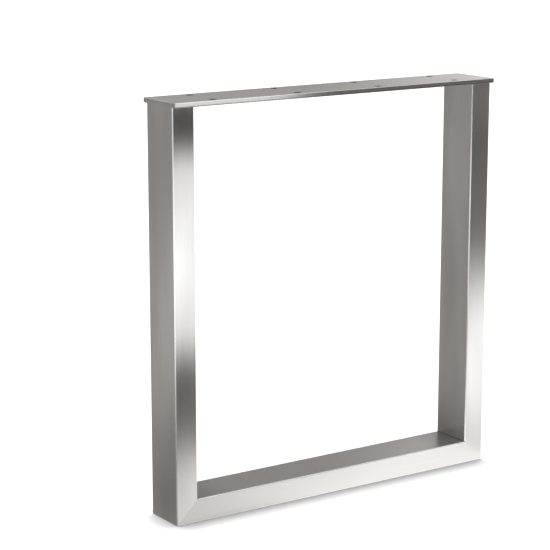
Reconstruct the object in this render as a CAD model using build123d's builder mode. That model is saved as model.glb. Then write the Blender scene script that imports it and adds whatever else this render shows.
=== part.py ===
from build123d import *
import os

# Table leg: a closed frame of flat rectangular tube, mitred at the floor and welded under a drilled plate.
# The frame stands on the floor at Z 0, X runs along its width, Y through its depth and Z up to the table.

# Overall size of the frame, outside to outside and floor to table
frame_width = 650.0
frame_height = 700.0

# Rectangular tube, one section for both uprights and the rail
tube_depth = 80.0
tube_face = 40.0
tube_wall = 1.5
tube_corner_radius = 2.0

# Flat bar across the top, as long as the frame is wide and wider than the tube is deep
plate_thickness = 8.0
plate_overhang = 10.0
plate_edge_radius = 0.8

# Screw holes, in rows along the plate and all between the uprights
hole_diameter = 8.5
hole_rim_chamfer = 0.4
hole_edge_distance = 15.0
hole_upright_distance = 37.5
hole_columns = 4
hole_rows = 2

# Places that follow from the sizes above
half_width = frame_width / 2
plate_underside = frame_height - plate_thickness
plate_width = tube_depth + 2 * plate_overhang
clear_span = frame_width - 2 * tube_face
hole_pitch = (clear_span - 2 * hole_upright_distance) / (hole_columns - 1)
hole_row_spacing = (plate_width - 2 * hole_edge_distance) / (hole_rows - 1)

# Mitre planes run from each outer bottom corner to the inner one and face the upright
left_mitre = Plane(origin=(-half_width, 0, 0), z_dir=(-1, 0, 1))
right_mitre = Plane(origin=(half_width, 0, 0), z_dir=(1, 0, 1))

os.makedirs("parts", exist_ok=True)


def tube_section(width, height):
    """Draw the wall of the tube in the open sketch: a rounded rectangle with a smaller one cut from it."""
    RectangleRounded(width, height, tube_corner_radius)
    RectangleRounded(
        width - 2 * tube_wall,
        height - 2 * tube_wall,
        tube_corner_radius - tube_wall,
        mode=Mode.SUBTRACT,
    )


# Uprights: cut square under the plate and mitred where they meet the rail
for name, side, mitre in (("left_upright", -1, left_mitre), ("right_upright", 1, right_mitre)):
    with BuildPart() as upright:
        with BuildSketch(Plane.XY):
            with Locations((side * (half_width - tube_face / 2), 0)):
                tube_section(tube_face, tube_depth)
        extrude(amount=plate_underside)
        split(bisect_by=mitre, keep=Keep.TOP)
    upright.part.label = name
    export_step(upright.part, f"parts/{name}.step")

# Bottom rail: lies on the floor between the two mitres
with BuildPart() as bottom_rail:
    with BuildSketch(Plane.YZ.offset(-half_width)):
        with Locations((0, tube_face / 2)):
            tube_section(tube_depth, tube_face)
    extrude(amount=frame_width)
    split(bisect_by=left_mitre, keep=Keep.BOTTOM)
    split(bisect_by=right_mitre, keep=Keep.BOTTOM)
bottom_rail.part.label = "bottom_rail"
export_step(bottom_rail.part, "parts/bottom_rail.step")

# Top plate: its edges are broken, apart from the two that are welded and ground flush with the uprights
with BuildPart() as top_plate:
    with BuildSketch(Plane.XY.offset(plate_underside)):
        Rectangle(frame_width, plate_width)
    extrude(amount=plate_thickness)
    flush_edges = top_plate.edges().group_by(Axis.Z)[0].filter_by(Axis.Y)
    fillet(top_plate.edges() - flush_edges, radius=plate_edge_radius)
    with Locations(Plane.XY.offset(frame_height)):
        with GridLocations(hole_pitch, hole_row_spacing, hole_columns, hole_rows):
            Hole(radius=hole_diameter / 2)
    hole_rims = top_plate.edges(Select.LAST).filter_by(GeomType.CIRCLE)
    chamfer(hole_rims, length=hole_rim_chamfer)
top_plate.part.label = "top_plate"
export_step(top_plate.part, "parts/top_plate.step")
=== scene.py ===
import math

import bpy
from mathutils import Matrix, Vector


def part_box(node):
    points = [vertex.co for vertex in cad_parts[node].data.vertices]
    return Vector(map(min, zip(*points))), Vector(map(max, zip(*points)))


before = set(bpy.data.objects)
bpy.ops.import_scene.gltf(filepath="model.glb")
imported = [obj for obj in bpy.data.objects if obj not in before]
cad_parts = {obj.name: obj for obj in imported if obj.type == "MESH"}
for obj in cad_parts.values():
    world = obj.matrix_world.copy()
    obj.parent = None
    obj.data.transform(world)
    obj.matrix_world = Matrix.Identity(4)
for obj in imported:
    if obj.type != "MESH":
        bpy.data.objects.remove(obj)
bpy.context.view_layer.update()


# Brushed stainless steel
# Every piece is stainless steel, linished with an abrasive belt that ran along it. The belt leaves fine
# scratches side by side, soft streaks a few millimetres wide and broader bands where its passes
# overlapped. The rounded edges are made rougher and painted brighter than the faces, a painted highlight.
STEEL_COLOUR = (0.685, 0.670, 0.645, 1.0)
SCRATCHES_PER_METRE = 1500.0
STREAKS_PER_METRE = 190.0
BANDS_PER_METRE = 16.0
SCRATCH_DETAIL = 2.0
STREAK_DETAIL = 3.0
BAND_DETAIL = 1.0
NOISE_MIDDLE = 0.5
SCRATCH_LENGTHS = 500.0
STREAK_LENGTHS = 200.0
BAND_LENGTHS = 4.0
SCRATCH_TONE = 0.10
ROUGHNESS = 0.26
STREAK_ROUGHNESS = 0.035
ANISOTROPY = 0.9
SCRATCH_DEPTH = 0.00002
STREAK_DEPTH = 0.3
BUMP_STRENGTH = 0.10
STREAK_LEAN = 0.2
EDGE_ROUGHNESS = 0.18
EDGE_FULL = 0.93
EDGE_GONE = 0.995
END_FACE = 0.7


def add_math(tree, operation, *values):
    """One math node. Each value is a number or a socket."""
    node = tree.nodes.new("ShaderNodeMath")
    node.operation = operation
    for socket, value in zip(node.inputs, values):
        if isinstance(value, (int, float)):
            socket.default_value = value
        else:
            tree.links.new(value, socket)
    return node.outputs[0]


def add_vector_math(tree, operation, *values):
    """One vector math node. Each value is a triple or a socket. A scale's second may be a number."""
    node = tree.nodes.new("ShaderNodeVectorMath")
    node.operation = operation
    sockets = [node.inputs[0], node.inputs["Scale"] if operation == "SCALE" else node.inputs[1]]
    for socket, value in zip(sockets, values):
        if isinstance(value, (int, float, tuple)):
            socket.default_value = value
        else:
            tree.links.new(value, socket)
    return node.outputs["Value"] if operation == "DOT_PRODUCT" else node.outputs["Vector"]


def add_noise(tree, vector, scale, detail):
    """One noise texture of the given scale, read at the vector, less its middle."""
    node = tree.nodes.new("ShaderNodeTexNoise")
    node.inputs["Scale"].default_value = scale
    node.inputs["Detail"].default_value = detail
    tree.links.new(vector, node.inputs["Vector"])
    return add_math(tree, "SUBTRACT", node.outputs["Fac"], NOISE_MIDDLE)


def split_axes(tree, vector):
    """The three numbers of a vector."""
    node = tree.nodes.new("ShaderNodeSeparateXYZ")
    tree.links.new(vector, node.inputs[0])
    return node.outputs["X"], node.outputs["Y"], node.outputs["Z"]


def object_place(tree):
    """The object coordinates, in metres from the middle of the leg's foot."""
    return tree.nodes.new("ShaderNodeTexCoord").outputs["Object"]


def near(tree, distance, full, gone):
    """A mask that is 1 up to the distance full and fades to 0 at the distance gone."""
    fade = tree.nodes.new("ShaderNodeMapRange")
    fade.interpolation_type = "SMOOTHSTEP"
    fade.inputs["From Min"].default_value = full
    fade.inputs["From Max"].default_value = gone
    fade.inputs["To Min"].default_value = 1.0
    fade.inputs["To Max"].default_value = 0.0
    tree.links.new(distance, fade.inputs["Value"])
    return fade.outputs["Result"]


def build_grain_group():
    """A node group that turns the direction of the belt into a colour, roughness, height and normal.

    Each noise reads the object's position squeezed along the belt, so its spots become scratches, streaks
    or bands. The bands start further along by the band shift. The tone is 1 plus their weighted sum, and
    more on an edge, where no part of the normal is near 1. The normal leans along the belt by a little of
    the streaks. An end face, whose normal runs along the belt, was ground along y instead. The roughness
    of the faces stays under 0.27, past which a denoised render shows dots and thin lines."""
    group = bpy.data.node_groups.new("brushed_grain", "ShaderNodeTree")
    face = group.interface
    face.new_socket("Belt direction", in_out="INPUT", socket_type="NodeSocketVector")
    face.new_socket("Steel", in_out="INPUT", socket_type="NodeSocketColor")
    face.new_socket("Streak strength", in_out="INPUT", socket_type="NodeSocketFloat")
    face.new_socket("Band strength", in_out="INPUT", socket_type="NodeSocketFloat")
    face.new_socket("Band shift", in_out="INPUT", socket_type="NodeSocketFloat")
    face.new_socket("Edge highlight strength", in_out="INPUT", socket_type="NodeSocketFloat")
    face.new_socket("Colour", in_out="OUTPUT", socket_type="NodeSocketColor")
    face.new_socket("Roughness", in_out="OUTPUT", socket_type="NodeSocketFloat")
    face.new_socket("Height", in_out="OUTPUT", socket_type="NodeSocketFloat")
    face.new_socket("Normal", in_out="OUTPUT", socket_type="NodeSocketVector")
    given = group.nodes.new("NodeGroupInput").outputs
    result = group.nodes.new("NodeGroupOutput").inputs
    normal = group.nodes.new("ShaderNodeNewGeometry").outputs["Normal"]
    place = object_place(group)
    belt = given["Belt direction"]
    end_face = add_math(group, "ABSOLUTE", add_vector_math(group, "DOT_PRODUCT", normal, belt))
    end_face = add_math(group, "GREATER_THAN", end_face, END_FACE)
    turned = add_vector_math(group, "SUBTRACT", (0.0, 1.0, 0.0), belt)
    belt = add_vector_math(group, "ADD", belt, add_vector_math(group, "SCALE", turned, end_face))

    def squeezed(start, lengths):
        """The position, divided by lengths along the belt and left alone across it."""
        run = add_vector_math(group, "MULTIPLY", start, belt)
        spare = add_vector_math(group, "SCALE", run, 1.0 / lengths - 1.0)
        return add_vector_math(group, "ADD", start, spare)

    shift = add_vector_math(group, "SCALE", belt, given["Band shift"])
    shifted = add_vector_math(group, "ADD", place, shift)
    scratches = add_noise(group, squeezed(place, SCRATCH_LENGTHS), SCRATCHES_PER_METRE, SCRATCH_DETAIL)
    streaks = add_noise(group, squeezed(place, STREAK_LENGTHS), STREAKS_PER_METRE, STREAK_DETAIL)
    bands = add_noise(group, squeezed(shifted, BAND_LENGTHS), BANDS_PER_METRE, BAND_DETAIL)
    x, y, z = split_axes(group, add_vector_math(group, "ABSOLUTE", normal))
    flatness = add_math(group, "MAXIMUM", add_math(group, "MAXIMUM", x, y), z)
    edge = near(group, flatness, EDGE_FULL, EDGE_GONE)

    tone = add_math(group, "MULTIPLY_ADD", scratches, SCRATCH_TONE, 1.0)
    tone = add_math(group, "MULTIPLY_ADD", streaks, given["Streak strength"], tone)
    tone = add_math(group, "MULTIPLY_ADD", bands, given["Band strength"], tone)
    # On the rounded edges the tone is raised: a painted highlight along them.
    tone = add_math(group, "MULTIPLY_ADD", edge, given["Edge highlight strength"], tone)
    lean = add_math(group, "MULTIPLY", streaks, given["Streak strength"])
    lean = add_math(group, "MULTIPLY", lean, STREAK_LEAN)
    leaning = add_vector_math(group, "ADD", normal, add_vector_math(group, "SCALE", belt, lean))
    roughness = add_math(group, "MULTIPLY_ADD", streaks, STREAK_ROUGHNESS, ROUGHNESS)
    roughness = add_math(group, "MULTIPLY_ADD", edge, EDGE_ROUGHNESS, roughness)

    group.links.new(add_vector_math(group, "SCALE", given["Steel"], tone), result["Colour"])
    group.links.new(roughness, result["Roughness"])
    group.links.new(add_math(group, "MULTIPLY_ADD", streaks, STREAK_DEPTH, scratches), result["Height"])
    group.links.new(add_vector_math(group, "NORMALIZE", leaning), result["Normal"])
    return group


grain_group = build_grain_group()


def brushed_steel(name, along, streak_strength, band_strength, band_shift, edge_highlight, shade):
    """Steel brushed along the axis 0, 1 or 2, so that its gloss spreads across the grain.

    shade is a function that draws a mask of dark joint lines and of painted shade and shadow, as in
    corners and holes.
    The steel's colour is multiplied by 1 minus that mask."""
    material = bpy.data.materials.new(name)
    material.use_nodes = True
    tree = material.node_tree
    shader = tree.nodes["Principled BSDF"]
    shader.inputs["Metallic"].default_value = 1.0
    shader.inputs["Anisotropic"].default_value = ANISOTROPY

    grain = tree.nodes.new("ShaderNodeGroup")
    grain.node_tree = grain_group
    grain.inputs["Belt direction"].default_value = [float(axis == along) for axis in range(3)]
    grain.inputs["Steel"].default_value = STEEL_COLOUR
    grain.inputs["Streak strength"].default_value = streak_strength
    grain.inputs["Band strength"].default_value = band_strength
    grain.inputs["Band shift"].default_value = band_shift
    grain.inputs["Edge highlight strength"].default_value = edge_highlight
    lit = add_math(tree, "SUBTRACT", 1.0, shade(tree))
    colour = add_vector_math(tree, "SCALE", grain.outputs["Colour"], lit)
    tree.links.new(colour, shader.inputs["Base Color"])
    tree.links.new(grain.outputs["Roughness"], shader.inputs["Roughness"])

    bump = tree.nodes.new("ShaderNodeBump")
    bump.inputs["Strength"].default_value = BUMP_STRENGTH
    bump.inputs["Distance"].default_value = SCRATCH_DEPTH
    tree.links.new(grain.outputs["Height"], bump.inputs["Height"])
    tree.links.new(grain.outputs["Normal"], bump.inputs["Normal"])
    tree.links.new(bump.outputs["Normal"], shader.inputs["Normal"])

    tangent = tree.nodes.new("ShaderNodeTangent")
    tangent.direction_type = "RADIAL"
    tangent.axis = "XYZ"[along]
    tree.links.new(tangent.outputs["Tangent"], shader.inputs["Tangent"])
    return material


def dress(node, material):
    """Give a CAD node that material in all its slots."""
    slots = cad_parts[node].data.materials
    slots.clear()
    slots.append(material)


# Uprights
# Two lengths of 80 x 40 tube, cut square under the plate and mitred at the floor. The belt ran up and
# down them, so their scratches stand upright and stop at the mitre. The welds are ground flush. The inner
# corners get a painted shade with a dark joint hairline in it, and a painted shadow line runs under the
# plate.
HAIRLINE = 0.0006
HAIRLINE_FADE = 0.0016
JOINT_AND_SHADOW_LINE_TONE = 0.55
# How far the painted shade in the inner corners reaches and how dark it is.
CORNER_SHADE_REACH = 0.085
CORNER_SHADE_TONE = 0.25
UPRIGHT_STREAKS = 0.07
# The uprights' broad random bands are strong and shifted so that their lighter and darker places also
# serve as a painted sheen.
UPRIGHT_BANDS_AND_SHEEN = 0.55
UPRIGHT_SHIFT = 4.1
# How much brighter the tubes' rounded edges are painted, a painted highlight.
TUBE_EDGE_HIGHLIGHT = 0.45

left_low, left_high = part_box("left_upright")
_, rail_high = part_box("bottom_rail")
half_width = -left_low[0]
inner_corner_x = -left_high[0]
inner_corner_z = rail_high[2]
under_plate_z = left_high[2]


def add_length(tree, a, b):
    """The length of the line with the parts a and b: the root of a squared plus b squared."""
    squares = add_math(tree, "MULTIPLY_ADD", a, a, add_math(tree, "MULTIPLY", b, b))
    return add_math(tree, "SQRT", squares)


def joints_and_painted_shade(tree):
    """A mask of the inner corner's painted shade and joint hairline and of the painted shadow under the
    plate.

    The inner corner is the line |x| = inner_corner_x, z = inner_corner_z. The painted shade lies on the
    faces that meet there, and not on the front and back, whose normals run along y. The shadow line under
    the plate leaves out the outer faces, |x| = half_width, where the plate is welded flush."""
    x, _, z = split_axes(tree, object_place(tree))
    x = add_math(tree, "ABSOLUTE", x)
    off_x = add_math(tree, "SUBTRACT", x, inner_corner_x)
    off_z = add_math(tree, "SUBTRACT", z, inner_corner_z)
    from_corner = add_length(tree, off_x, off_z)
    corner_line = near(tree, from_corner, HAIRLINE, HAIRLINE_FADE)
    # A painted shadow line just under the plate.
    plate_shadow_line = near(tree, add_math(tree, "SUBTRACT", under_plate_z, z), HAIRLINE, HAIRLINE_FADE)
    outer_face = near(tree, add_math(tree, "SUBTRACT", half_width, x), HAIRLINE, HAIRLINE_FADE)
    plate_shadow_line = add_math(tree, "SUBTRACT", plate_shadow_line, outer_face)
    lines = add_math(tree, "MULTIPLY", add_math(tree, "MAXIMUM", corner_line, plate_shadow_line), JOINT_AND_SHADOW_LINE_TONE)
    _, facing_y, _ = split_axes(tree, tree.nodes.new("ShaderNodeNewGeometry").outputs["Normal"])
    # Painted shade: the faces that meet in the inner corner are darkened near the corner line.
    inner_face = add_math(tree, "SUBTRACT", CORNER_SHADE_TONE, add_math(tree, "ABSOLUTE", facing_y))
    corner_shade = add_math(tree, "MULTIPLY", near(tree, from_corner, 0.0, CORNER_SHADE_REACH), inner_face)
    return add_math(tree, "MAXIMUM", lines, corner_shade)


for node in ("left_upright", "right_upright"):
    steel = brushed_steel(
        node + "_steel", 2, UPRIGHT_STREAKS, UPRIGHT_BANDS_AND_SHEEN, UPRIGHT_SHIFT, TUBE_EDGE_HIGHLIGHT, joints_and_painted_shade
    )
    dress(node, steel)


# Bottom rail
# The same tube, lying on the floor between the mitres and welded to both uprights. Its scratches lie
# flat, along its length, so its faces catch the light differently from the uprights'.
RAIL_STREAKS = 0.04
RAIL_BANDS = 0.10

steel = brushed_steel("bottom_rail_steel", 0, RAIL_STREAKS, RAIL_BANDS, 0.0, TUBE_EDGE_HIGHLIGHT, joints_and_painted_shade)
dress("bottom_rail", steel)


# Top plate
# A flat bar with eight screw holes, welded across the uprights. It is brushed along its length too. Its
# holes' walls and rims get a painted shade, and its long lower edges a painted shadow line.
PLATE_STREAKS = 0.05
PLATE_BANDS = 0.10
# How much brighter the plate's rounded edges are painted, a painted highlight.
PLATE_EDGE_HIGHLIGHT = 0.15
HOLE_PITCH = 0.165
HOLE_ROW_SPACING = 0.070
HOLE_RADIUS = 0.00425
HOLE_RIM = 0.0016
HOLE_RIM_FADE = 0.0024
HOLE_SHADE_TONE = 0.95
LOWER_EDGE = 0.0010
LOWER_EDGE_FADE = 0.0026
LOWER_EDGE_SHADOW_TONE = 0.6


def holes_and_lower_edge_shade(tree):
    """A mask of painted shade on the holes' walls and rims and of a painted shadow along the long lower
    edges.

    The distance to the nearest hole is worked out from how far the point is from the nearest column, by
    a zigzag over x, and from the nearest row. The edge fades with |normal y|, so it leaves out the
    underside and the ends, which are ground flush with the uprights."""
    x, y, z = split_axes(tree, object_place(tree))
    between = add_math(tree, "PINGPONG", x, HOLE_PITCH / 2)
    off_x = add_math(tree, "SUBTRACT", HOLE_PITCH / 2, between)
    off_y = add_math(tree, "SUBTRACT", add_math(tree, "ABSOLUTE", y), HOLE_ROW_SPACING / 2)
    from_hole = add_length(tree, off_x, off_y)
    # Painted shade in and round the holes.
    hole = near(tree, from_hole, HOLE_RADIUS + HOLE_RIM, HOLE_RADIUS + HOLE_RIM_FADE)
    _, facing_y, _ = split_axes(tree, tree.nodes.new("ShaderNodeNewGeometry").outputs["Normal"])
    # A painted shadow along the plate's long lower edges.
    edge = near(tree, add_math(tree, "SUBTRACT", z, under_plate_z), LOWER_EDGE, LOWER_EDGE_FADE)
    edge = add_math(tree, "MULTIPLY", edge, add_math(tree, "ABSOLUTE", facing_y))
    edge = add_math(tree, "MULTIPLY", edge, LOWER_EDGE_SHADOW_TONE)
    return add_math(tree, "MAXIMUM", add_math(tree, "MULTIPLY", hole, HOLE_SHADE_TONE), edge)


steel = brushed_steel(
    "top_plate_steel", 0, PLATE_STREAKS, PLATE_BANDS, 0.0, PLATE_EDGE_HIGHLIGHT, holes_and_lower_edge_shade
)
dress("top_plate", steel)


# Floor
# A pale studio floor that runs out of the picture on every side. It shows white, with the leg's soft
# shadow
# on it: a little is cast by the lights, the rest is painted into its colour and glow from how much of the
# sky the steel hides close by, deepest where the steel meets the floor and leaning forwards, as if lit
# from behind.
FLOOR_HALF_SIZE = 30.0
FLOOR_COLOUR = (0.8, 0.8, 0.8)
FLOOR_GLOW = 0.40
CONTACT_REACH = 0.045
CONTACT_DEPTH = 0.8
CONTACT_SAMPLES = 16
SHADOW_LEAN = (0.25, 0.6, 0.7)
WHITE = (1.0, 1.0, 1.0, 1.0)


def flat_sheet(name, corner, side_a, side_b):
    """A flat sheet whose edge runs from the corner along side_a, then along side_b, and back again."""
    start, a, b = Vector(corner), Vector(side_a), Vector(side_b)
    mesh = bpy.data.meshes.new(name)
    mesh.from_pydata([start, start + a, start + a + b, start + b], [], [(0, 1, 2, 3)])
    obj = bpy.data.objects.new(name, mesh)
    bpy.context.scene.collection.objects.link(obj)
    return obj


def background_ray(tree):
    """1 for rays that show the background as it is: from the camera, and through or off the object."""
    path = tree.nodes.new("ShaderNodeLightPath")
    seen = add_math(tree, "ADD", path.outputs["Is Camera Ray"], path.outputs["Is Glossy Ray"])
    seen = add_math(tree, "ADD", seen, path.outputs["Is Transmission Ray"])
    return add_math(tree, "MINIMUM", seen, 1.0)


floor = flat_sheet(
    "studio_floor",
    (-FLOOR_HALF_SIZE, -FLOOR_HALF_SIZE, 0.0),
    (2 * FLOOR_HALF_SIZE, 0.0, 0.0),
    (0.0, 2 * FLOOR_HALF_SIZE, 0.0),
)
floor_paint = bpy.data.materials.new("pale_floor")
floor_paint.use_nodes = True
floor_tree = floor_paint.node_tree
floor_shader = floor_tree.nodes["Principled BSDF"]
# Painted shadow: the floor's colour and glow are darkened by how much the steel hides nearby.
contact = floor_tree.nodes.new("ShaderNodeAmbientOcclusion")
contact.samples = CONTACT_SAMPLES
contact.inputs["Distance"].default_value = CONTACT_REACH
floor_tree.links.new(add_vector_math(floor_tree, "NORMALIZE", SHADOW_LEAN), contact.inputs["Normal"])
openness = add_math(floor_tree, "POWER", contact.outputs["AO"], CONTACT_DEPTH)
floor_tone = add_vector_math(floor_tree, "SCALE", FLOOR_COLOUR, openness)
floor_tree.links.new(floor_tone, floor_shader.inputs["Base Color"])
floor_shader.inputs["Roughness"].default_value = 1.0
floor_shader.inputs["Specular IOR Level"].default_value = 0.0
floor_shader.inputs["Emission Color"].default_value = WHITE
floor_glow = add_math(floor_tree, "MULTIPLY", background_ray(floor_tree), FLOOR_GLOW)
floor_glow = add_math(floor_tree, "MULTIPLY", floor_glow, openness)
floor_tree.links.new(floor_glow, floor_shader.inputs["Emission Strength"])
floor.data.materials.append(floor_paint)


# Studio light
# A white tent lights the leg evenly from all round, and a broad overhead light adds to it from above.
TENT_LIGHT = 0.75
TOP_LIGHT = 1.5
TOP_LIGHT_SPREAD = math.radians(60.0)

world = bpy.data.worlds.new("white_tent")
bpy.context.scene.world = world
world.use_nodes = True
sky = world.node_tree
background = sky.nodes["Background"]
background.inputs["Color"].default_value = WHITE
tent = add_math(sky, "MULTIPLY_ADD", background_ray(sky), 1.0 - TENT_LIGHT, TENT_LIGHT)
sky.links.new(tent, background.inputs["Strength"])

lamp_data = bpy.data.lights.new("overhead_light", "SUN")
lamp_data.energy = TOP_LIGHT
lamp_data.angle = TOP_LIGHT_SPREAD
lamp = bpy.data.objects.new("overhead_light", lamp_data)
lamp.visible_glossy = False
bpy.context.scene.collection.objects.link(lamp)


# Reflectors
# Grey and white boards stand close round the leg, and only its steel sees them. Their bands are listed as
# (distance up the board in metres, tone), where 1 is white. They are fitted to the shading that the real
# leg has from the front left: where the front board turns dark, so do the heads of the uprights.
BOARD_HEIGHT = 1.6
BOARD_OUT = 0.42
BOARD_HALF_WIDTH = 1.2
FLOOR_LIFT = 0.0006
BRIGHTEST = 2.2
WARMTH = 0.055

FRONT_OUTSIDE = [(0.0, 0.8), (0.15, 1.2), (0.75, 1.4), (1.6, 1.3)]
FRONT_LEFT_LOW = [(0.0, 0.34), (0.04, 0.15), (0.132, 0.07), (0.235, 1.18), (0.34, 1.46), (0.42, 1.40)]
FRONT_LEFT_HIGH = [(0.515, 1.26), (0.585, 0.02), (0.66, 0.02), (0.69, 2.1), (0.9, 1.8), (1.6, 1.4)]
FRONT_LEFT = [*FRONT_LEFT_LOW, *FRONT_LEFT_HIGH]
FRONT_MIDDLE = [*FRONT_LEFT_LOW, (0.56, 0.05), (0.88, 0.02), (1.0, 1.4), (1.6, 1.4)]
FRONT_RIGHT_LOW = [(0.0, 1.33), (0.11, 1.36), (0.345, 0.15), (0.50, 0.115), (0.63, 0.20)]
FRONT_RIGHT = [*FRONT_RIGHT_LOW, (0.69, 0.02), (0.88, 0.02), (1.0, 1.4), (1.6, 1.4)]
FLOOR_OUTSIDE = [(0.0, 0.29), (0.42, 0.29)]
FLOOR_LEFT = [(0.0, 0.32), (0.05, 0.52), (0.13, 0.80), (0.24, 0.96), (0.33, 0.98), (0.42, 0.72)]
FLOOR_MIDDLE = [(0.0, 0.37), (0.05, 0.62), (0.13, 1.00), (0.25, 1.32), (0.42, 1.32)]
FLOOR_RIGHT = [(0.0, 1.36), (0.10, 1.19), (0.25, 1.03), (0.42, 0.94)]
FLOOR_BACK = [(0.0, 0.24), (0.42, 0.30)]
FLOOR_BACK_RIGHT = [(0.0, 1.16), (0.42, 0.55)]
BACK_LEFT = [(0.0, 0.32), (0.08, 0.37), (0.42, 0.33), (0.60, 0.32), (1.15, 0.28), (1.6, 1.2)]
BACK_MIDDLE = [(0.0, 0.34), (0.25, 0.29), (0.50, 0.30), (0.75, 0.30), (1.15, 0.24), (1.6, 1.2)]
BACK_RIGHT = [(0.0, 0.55), (0.21, 0.68), (0.76, 0.80), (1.1, 0.78), (1.6, 1.2)]
LEFT_BANDS = [(0.0, 1.4), (0.30, 1.4), (0.46, 0.50), (1.6, 0.6)]
RIGHT_BANDS = [(0.0, 0.45), (0.3, 0.65), (0.6, 0.40), (1.6, 0.6)]
TOP_BANDS = [(0.0, 1.4), (0.84, 1.4)]


def band_tone(tree, distance, length, bands):
    """The tone at a distance up the board, as a share of BRIGHTEST, eased between the listed pairs.

    A grey leans warm low down: red gains and blue loses WARMTH times the tone, times 1 minus the tone,
    times 1 minus the share of the board's length."""
    ramp = tree.nodes.new("ShaderNodeValToRGB")
    ramp.color_ramp.interpolation = "EASE"
    stops = ramp.color_ramp.elements
    while len(stops) < len(bands):
        stops.new(1.0)
    for stop, (place, tone) in zip(stops, bands):
        stop.position = place / length
        warm = WARMTH * tone * (1.0 - tone) * (1.0 - stop.position)
        stop.color = ((tone + warm) / BRIGHTEST, tone / BRIGHTEST, (tone - warm) / BRIGHTEST, 1.0)
    tree.links.new(add_math(tree, "DIVIDE", distance, length), ramp.inputs["Fac"])
    return ramp.outputs["Color"]


def reflector(name, corner, side, up, bands, *zones):
    """A board that only glossy rays see, from a corner along its side and up. Its bands run up it.

    Each zone is (x where it starts to show, x where it is full, its bands), and it takes the place of the
    ones before it from there on."""
    board = flat_sheet(name, corner, side, up)
    paint = bpy.data.materials.new(name + "_paint")
    paint.use_nodes = True
    paint.cycles.emission_sampling = "NONE"
    tree = paint.node_tree
    tree.nodes.remove(tree.nodes["Principled BSDF"])
    place = object_place(tree)
    x, _, _ = split_axes(tree, place)
    length = max(up)
    run = add_vector_math(tree, "SUBTRACT", place, corner)
    distance = add_vector_math(tree, "DOT_PRODUCT", run, tuple(part / length for part in up))
    tone = band_tone(tree, distance, length, bands)
    for start, full, zone_bands in zones:
        blend = tree.nodes.new("ShaderNodeMixRGB")
        tree.links.new(near(tree, x, start, full), blend.inputs["Fac"])
        tree.links.new(band_tone(tree, distance, length, zone_bands), blend.inputs["Color1"])
        tree.links.new(tone, blend.inputs["Color2"])
        tone = blend.outputs["Color"]
    glow = tree.nodes.new("ShaderNodeEmission")
    glow.inputs["Strength"].default_value = BRIGHTEST
    tree.links.new(tone, glow.inputs["Color"])
    tree.links.new(glow.outputs[0], tree.nodes["Material Output"].inputs["Surface"])
    board.data.materials.append(paint)
    board.visible_camera = False
    board.visible_diffuse = False
    board.visible_transmission = False
    board.visible_volume_scatter = False
    board.visible_shadow = False


upward = (0.0, 0.0, BOARD_HEIGHT)
across = (2 * BOARD_HALF_WIDTH, 0.0, 0.0)
inward = (0.0, BOARD_OUT, 0.0)
through = (0.0, 2 * BOARD_OUT, 0.0)
front_zones = [(-0.60, -0.45, FRONT_LEFT), (0.10, 0.22, FRONT_MIDDLE), (0.16, 0.40, FRONT_RIGHT)]
floor_zones = [(-0.328, -0.318, FLOOR_LEFT), (-0.28, 0.0, FLOOR_MIDDLE), (0.33, 0.37, FLOOR_RIGHT)]
back_zones = [(-0.45, -0.15, BACK_MIDDLE), (0.28, 0.84, BACK_RIGHT)]
back_floor_zones = [(-0.328, -0.318, FLOOR_BACK), (0.316, 0.325, FLOOR_BACK_RIGHT)]
front_left = (-BOARD_HALF_WIDTH, -BOARD_OUT, 0.0)
front_left_floor = (-BOARD_HALF_WIDTH, -BOARD_OUT, FLOOR_LIFT)
front_left_top = (-BOARD_HALF_WIDTH, -BOARD_OUT, BOARD_HEIGHT)
front_right = (BOARD_HALF_WIDTH, -BOARD_OUT, 0.0)
middle_left_floor = (-BOARD_HALF_WIDTH, 0.0, FLOOR_LIFT)
back_left = (-BOARD_HALF_WIDTH, BOARD_OUT, 0.0)
reflector("front_reflector", front_left, across, upward, FRONT_OUTSIDE, *front_zones)
reflector("back_reflector", back_left, across, upward, BACK_LEFT, *back_zones)
reflector("front_floor", front_left_floor, across, inward, FLOOR_OUTSIDE, *floor_zones)
reflector("back_floor", middle_left_floor, across, inward, FLOOR_OUTSIDE, *back_floor_zones)
reflector("top_reflector", front_left_top, across, through, TOP_BANDS)
reflector("left_reflector", front_left, through, upward, LEFT_BANDS)
reflector("right_reflector", front_right, through, upward, RIGHT_BANDS)


# Camera
# It stands to the left in front of the leg, above its top, and looks down at it through a long lens.
CAMERA_PLACE = (-1.824, -2.556, 1.059)
CAMERA_TURN_RIGHT = math.radians(33.94)
CAMERA_LOOK_DOWN = math.radians(12.25)
CAMERA_LENS = 122.6
CAMERA_SENSOR = 36.0
CAMERA_REACH = 60.0

camera_data = bpy.data.cameras.new("camera")
camera_data.lens = CAMERA_LENS
camera_data.sensor_width = CAMERA_SENSOR
camera_data.clip_end = CAMERA_REACH
camera = bpy.data.objects.new("camera", camera_data)
camera.location = CAMERA_PLACE
camera.rotation_euler = (math.pi / 2 - CAMERA_LOOK_DOWN, 0.0, -CAMERA_TURN_RIGHT)
bpy.context.scene.collection.objects.link(camera)
bpy.context.scene.camera = camera
bpy.context.scene.view_settings.view_transform = "Standard"
